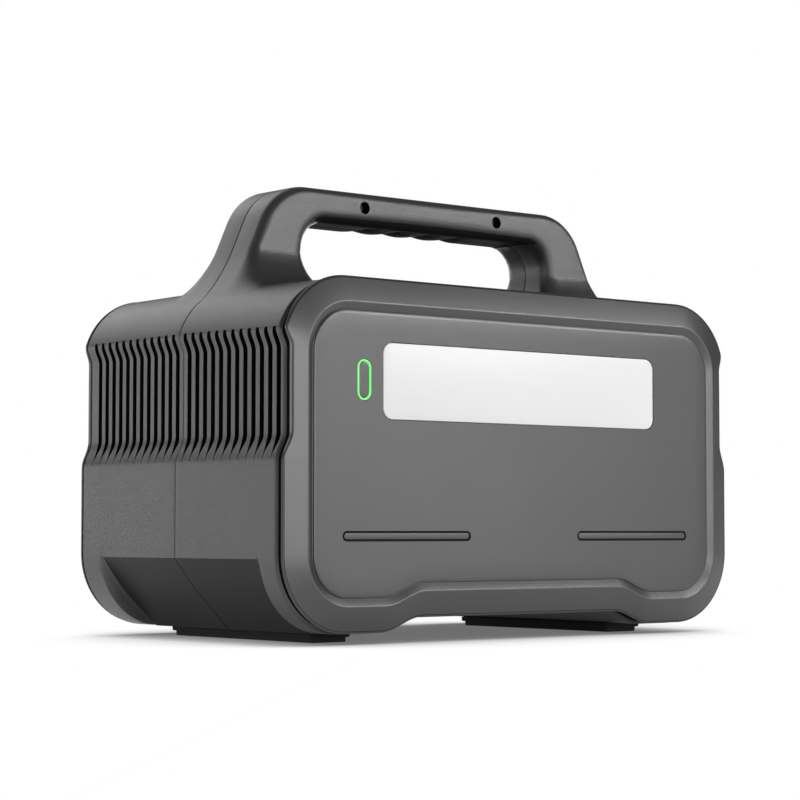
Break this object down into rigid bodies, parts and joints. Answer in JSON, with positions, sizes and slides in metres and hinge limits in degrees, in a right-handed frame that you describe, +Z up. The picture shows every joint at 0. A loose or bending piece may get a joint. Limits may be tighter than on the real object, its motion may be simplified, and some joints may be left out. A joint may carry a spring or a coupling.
{
  "type": "portable power station",
  "caption": "Grey portable power station with a moulded carry handle, a lamp with a lit button on one end, outlets on the other, side vents, and a battery and inverter inside.",
  "frame": {"origin": "middle of the object's footprint on the floor, under the feet", "axes": "+X across the width, lamp end towards -Y and outlet end towards +Y, +Z up"},
  "size_m": [0.3032, 0.1822, 0.23],
  "materials": {
    "shell_plastic": "fine moulded grain, neutral grey",
    "cover_plastic": "fine moulded grain, neutral grey",
    "foot_rubber": "matt black rubber",
    "screw_steel": "plain screws",
    "lens_white": "milky white diffuser",
    "ring_green": "lit green light guide",
    "board_green": "solder mask",
    "led_yellow": "phosphor",
    "socket_black": "moulded black",
    "lead_black": "insulated wire",
    "cell_wrap": "shrink-wrapped cell can",
    "nickel_strap": "nickel strip",
    "chassis_metal": "bent sheet",
    "brass_standoff": "turned brass",
    "sink_aluminium": "extruded fins",
    "ferrite": "ferrite",
    "copper_winding": "enamelled winding",
    "capacitor_sleeve": "sleeved can",
    "fan_black": "moulded black",
    "display_glass": "dark window",
    "display_panel": "display module"
  },
  "bodies": {
    "case": {"front_shell": "shell_plastic", "rear_shell": "shell_plastic", "front_cover": "cover_plastic", "rear_cover": "cover_plastic", "trim_strips": "cover_plastic", "left_foot": "foot_rubber", "right_foot": "foot_rubber", "foot_screws": "screw_steel", "handle_screws": "screw_steel", "case_screws": "screw_steel", "lamp_lens": "lens_white", "lamp_reflector": "lens_white", "lamp_board": "board_green", "lamp_leds": "led_yellow", "lamp_button_ring": "ring_green", "lamp_switch": "socket_black", "lamp_lead": "lead_black", "battery_cells": "cell_wrap", "front_cell_holder": "socket_black", "rear_cell_holder": "socket_black", "cell_busbars": "nickel_strap", "battery_monitor_board": "board_green", "battery_leads": "lead_black", "chassis_plate": "chassis_metal", "chassis_screws": "screw_steel", "inverter_board": "board_green", "board_standoffs": "brass_standoff", "board_screws": "screw_steel", "heat_sinks": "sink_aluminium", "power_transistors": "socket_black", "transformer_core": "ferrite", "transformer_winding": "copper_winding", "filter_capacitors": "capacitor_sleeve", "filter_chokes": "copper_winding", "left_fan_frame": "fan_black", "right_fan_frame": "fan_black", "fan_screws": "screw_steel", "outlet_board": "board_green", "outlet_board_screws": "screw_steel", "outlet_switches": "socket_black", "ac_sockets": "socket_black", "car_socket": "socket_black", "dc_ports": "socket_black", "dc_input": "socket_black", "usb_a_ports": "socket_black", "usb_c_ports": "socket_black", "display_window": "display_glass", "display_module": "display_panel"},
    "lamp_button": {"lamp_button": "cover_plastic", "lamp_switch_plunger": "led_yellow"},
    "ac_key": {"ac_key": "cover_plastic"},
    "usb_key": {"usb_key": "cover_plastic"},
    "dc_key": {"dc_key": "cover_plastic"},
    "left_fan": {"left_fan_rotor": "fan_black"},
    "right_fan": {"right_fan_rotor": "fan_black"}
  },
  "joints": [
    {"name": "lamp_button_press", "type": "slide", "parent": "case", "child": "lamp_button", "axis": [0, 1, 0], "range_m": [0, 0.001], "stiffness_N_per_m": 400},
    {"name": "ac_key_press", "type": "slide", "parent": "case", "child": "ac_key", "axis": [0, -1, 0], "range_m": [0, 0.001], "stiffness_N_per_m": 400},
    {"name": "usb_key_press", "type": "slide", "parent": "case", "child": "usb_key", "axis": [0, -1, 0], "range_m": [0, 0.001], "stiffness_N_per_m": 400},
    {"name": "dc_key_press", "type": "slide", "parent": "case", "child": "dc_key", "axis": [0, -1, 0], "range_m": [0, 0.001], "stiffness_N_per_m": 400},
    {"name": "left_fan_spin", "type": "hinge", "parent": "case", "child": "left_fan", "pos_m": [-0.1269, 0, 0.12], "axis": [1, 0, 0], "continuous": true},
    {"name": "right_fan_spin", "type": "hinge", "parent": "case", "child": "right_fan", "pos_m": [0.1269, 0, 0.12], "axis": [1, 0, 0], "continuous": true}
  ]
}
